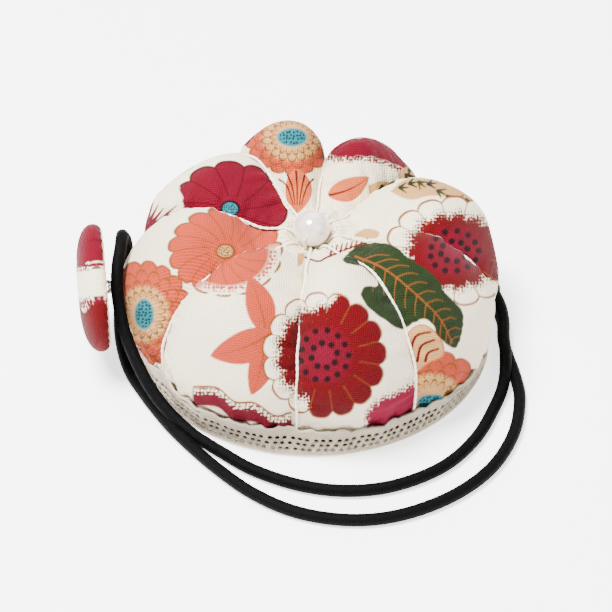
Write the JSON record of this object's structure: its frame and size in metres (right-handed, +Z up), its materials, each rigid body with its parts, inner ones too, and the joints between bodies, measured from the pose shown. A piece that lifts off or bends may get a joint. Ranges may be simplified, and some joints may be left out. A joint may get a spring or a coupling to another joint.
{
  "type": "wrist pin cushion",
  "caption": "Pumpkin-shaped floral pin cushion for the wrist, lobes drawn in by floss, pearl on top, lace foot, and an elastic loop that hooks on a covered button.",
  "frame": {"origin": "centre of the flat felt underside, on the table", "axes": "+Z up through the pearl, +X from the covered button across to the side where the elastic's ends are sewn, +Y away from the side round which the elastic is laid"},
  "size_m": [0.0878, 0.0917, 0.0363],
  "materials": {
    "printed_cotton": "matte printed plain-weave cotton",
    "button_cotton": "matte printed plain-weave cotton, stretched",
    "lace": "matte cotton lace",
    "felt": "matte felt",
    "board": "matte stiff grey-brown board",
    "wadding": "loose polyester wadding",
    "floss": "soft sheen stranded cotton",
    "pearl": "pearl lustre",
    "tin": "pressed sheet",
    "wire": "drawn wire",
    "elastic": "matte braided sleeve on a rubber core",
    "black_thread": "matte sewing thread"
  },
  "bodies": {
    "cushion": {"base_felt": "felt", "base_disc": "board", "lace_band": "lace", "cushion_cover": "printed_cotton", "stuffing": "wadding", "floss_turn_1": "floss", "floss_turn_2": "floss", "floss_turn_3": "floss", "floss_turn_4": "floss", "floss_turn_5": "floss", "floss_turn_6": "floss", "floss_turn_7": "floss", "floss_turn_8": "floss", "centre_tie": "floss", "gather_stitch": "floss", "pearl_thread": "floss", "button_knot": "floss", "elastic_loop": "elastic", "end_binding": "black_thread", "end_stitch": "black_thread"},
    "pearl": {"pearl": "pearl"},
    "button": {"button_cover": "button_cotton", "button_shell": "tin", "button_back": "tin", "button_shank": "wire", "button_stitch": "floss"}
  },
  "joints": [
    {"name": "pearl_spin", "type": "hinge", "parent": "cushion", "child": "pearl", "pos_m": [0, 0, 0.0279], "axis": [0.4067, 0.9135, 0], "continuous": true},
    {"name": "button_turn", "type": "hinge", "parent": "cushion", "child": "button", "pos_m": [-0.0403, -0.00495, 0.0173], "axis": [-0.9925, -0.1219, 0], "range_deg": [-90, 90]}
  ]
}
